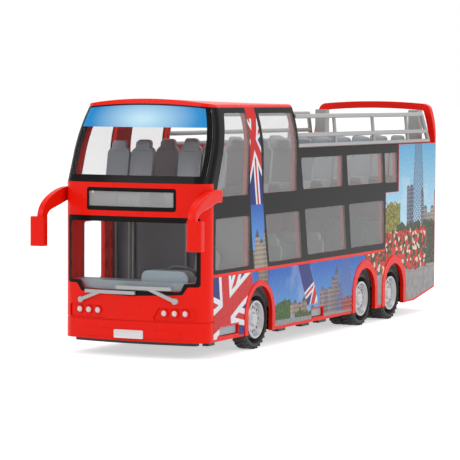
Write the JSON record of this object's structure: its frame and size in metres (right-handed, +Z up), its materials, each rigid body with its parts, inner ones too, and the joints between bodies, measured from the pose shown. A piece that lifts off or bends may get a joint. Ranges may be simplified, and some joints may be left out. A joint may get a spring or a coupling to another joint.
{
  "type": "toy double-decker tour bus",
  "caption": "Toy double-decker tour bus with an open upper deck behind a front canopy, railings, seats, opening doors and free-turning wheels.",
  "frame": {"origin": "on the ground under the middle of the toy's bounding box", "axes": "+Z up, the bus's front faces -Y, +X is the bus's own left, the driver's side"},
  "size_m": [0.0842, 0.2946, 0.1134],
  "materials": {
    "clear_plastic": "gloss",
    "red_plastic": "gloss",
    "lamp_silver": "polished",
    "lamp_red": "gloss",
    "grey_plastic": "satin",
    "pale_plastic": "satin",
    "black_plastic": "satin",
    "steel": "plain",
    "tyre_rubber": "matt",
    "silver_plastic": "metallic"
  },
  "bodies": {
    "body": {"left_glazing": "clear_plastic", "right_glazing": "clear_plastic", "lower_windscreen": "clear_plastic", "destination_window": "clear_plastic", "upper_windscreen": "clear_plastic", "rear_window": "clear_plastic", "left_side": "red_plastic", "right_side": "red_plastic", "front_mask": "red_plastic", "roof": "red_plastic", "rear_panel": "red_plastic", "rear_hoop": "red_plastic", "left_mirror": "red_plastic", "right_mirror": "red_plastic", "headlamps": "lamp_silver", "tail_lamps": "lamp_red", "hoop_pillars": "grey_plastic", "left_railing": "grey_plastic", "right_railing": "grey_plastic", "upper_deck": "grey_plastic", "upper_seats": "grey_plastic", "lower_seats": "grey_plastic", "driver_seat": "grey_plastic", "steering_wheel": "grey_plastic", "partition": "grey_plastic", "right_wiper": "grey_plastic", "left_wiper": "grey_plastic", "dashboard": "pale_plastic", "lower_floor": "pale_plastic", "chassis": "black_plastic"},
    "front_wheels": {"front_axle": "steel", "front_tyres": "tyre_rubber", "front_hubs": "silver_plastic"},
    "middle_wheels": {"middle_axle": "steel", "middle_tyres": "tyre_rubber", "middle_hubs": "silver_plastic"},
    "rear_wheels": {"rear_axle": "steel", "rear_tyres": "tyre_rubber", "rear_hubs": "silver_plastic"},
    "front_door_leaf": {"front_door": "red_plastic", "front_door_glass": "clear_plastic"},
    "middle_door_leaf": {"middle_door": "red_plastic", "middle_door_glass": "clear_plastic"}
  },
  "joints": [
    {"name": "front_wheels_spin", "type": "hinge", "parent": "body", "child": "front_wheels", "pos_m": [0, -0.07468, 0.0135], "axis": [1, 0, 0], "continuous": true},
    {"name": "middle_wheels_spin", "type": "hinge", "parent": "body", "child": "middle_wheels", "pos_m": [0, 0.04792, 0.0135], "axis": [1, 0, 0], "continuous": true},
    {"name": "rear_wheels_spin", "type": "hinge", "parent": "body", "child": "rear_wheels", "pos_m": [0, 0.08622, 0.0135], "axis": [1, 0, 0], "continuous": true},
    {"name": "front_door_hinge", "type": "hinge", "parent": "body", "child": "front_door_leaf", "pos_m": [-0.0339, -0.11678, 0.0363], "axis": [0, 0, 1], "range_deg": [0, 80]},
    {"name": "middle_door_hinge", "type": "hinge", "parent": "body", "child": "middle_door_leaf", "pos_m": [-0.0339, -0.02178, 0.0363], "axis": [0, 0, 1], "range_deg": [0, 80]}
  ]
}
